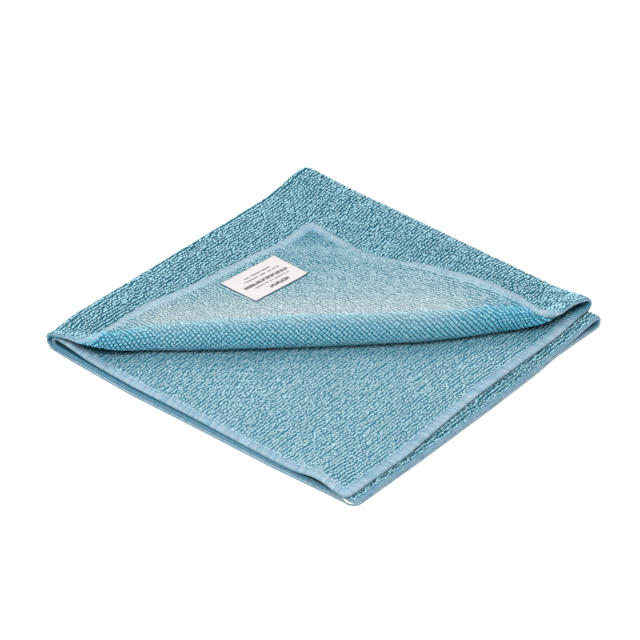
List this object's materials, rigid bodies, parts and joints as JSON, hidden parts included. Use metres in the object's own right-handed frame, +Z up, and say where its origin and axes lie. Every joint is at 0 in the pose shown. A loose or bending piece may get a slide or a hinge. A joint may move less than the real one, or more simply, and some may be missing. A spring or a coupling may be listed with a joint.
{
  "type": "microfibre cloth",
  "caption": "Square terry microfibre cleaning cloth folded in quarters, overlocked hems, top corner peeled back over a soft roll to show a sewn label.",
  "frame": {"origin": "middle of the part's bounding box, on the surface the cloth lies on", "axes": "+Z up off the surface; +X towards the side with four free hems and +Y towards the side with the first fold; the peeled corner was at +X -Y"},
  "size_m": [0.201, 0.2014, 0.0225],
  "materials": {
    "cloth": "teal-blue looped pile, matt",
    "label": "off-white woven satin, soft sheen"
  },
  "bodies": {
    "root": {"cloth": "cloth", "label": "label"}
  },
  "joints": []
}
